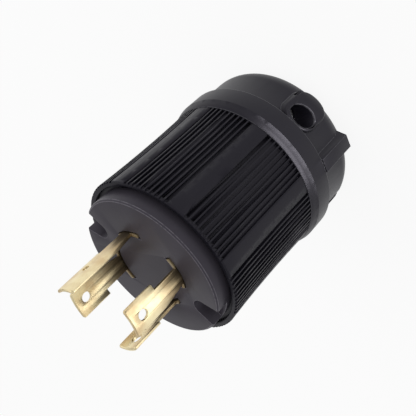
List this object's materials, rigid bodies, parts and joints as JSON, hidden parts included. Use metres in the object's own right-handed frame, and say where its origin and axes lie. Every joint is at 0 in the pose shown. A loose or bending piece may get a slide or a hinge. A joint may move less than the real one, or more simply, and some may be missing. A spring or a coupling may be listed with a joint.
{
  "type": "locking power plug",
  "caption": "Round twist-lock power plug with hooked rolled blades on a black ribbed body, a rear collar and a clamped cord entry.",
  "frame": {"origin": "middle of the cord end, on the flat ring that the plug stands on", "axes": "+Z along the plug's axis towards the blades, +Y towards the ground blade, line blades on +X and -X"},
  "size_m": [0.0588, 0.0574, 0.0969],
  "materials": {
    "face_nylon": "fine matte moulding, slightly greyer than the body",
    "grip_nylon": "black moulded nylon, satin on the rib crests",
    "housing_nylon": "black moulded nylon, satin",
    "clamp_nylon": "black moulded nylon, matte",
    "blade_brass": "pale rolled brass sheet with stamped edges",
    "plate_steel": "zinc-plated pressed steel",
    "terminal_brass": "turned brass",
    "screw_steel": "zinc-plated steel"
  },
  "bodies": {
    "root": {"contact_carrier": "face_nylon", "terminal_retainer": "face_nylon", "ribbed_sleeve": "grip_nylon", "rear_housing": "housing_nylon", "line_blade_1": "blade_brass", "line_blade_2": "blade_brass", "neutral_blade": "blade_brass", "ground_blade": "blade_brass", "line_clamp_plate_1": "plate_steel", "line_clamp_plate_2": "plate_steel", "neutral_clamp_plate": "plate_steel", "ground_clamp_plate": "plate_steel", "line_terminal_screw_1": "terminal_brass", "line_terminal_screw_2": "terminal_brass", "neutral_terminal_screw": "screw_steel", "ground_terminal_screw": "screw_steel", "cord_clamp_jaw_1": "clamp_nylon", "cord_clamp_jaw_2": "clamp_nylon", "cord_clamp_screw_1": "screw_steel", "cord_clamp_screw_2": "screw_steel", "cord_clamp_nut_1": "screw_steel", "cord_clamp_nut_2": "screw_steel", "assembly_screw_1": "screw_steel", "assembly_screw_2": "screw_steel"}
  },
  "joints": []
}
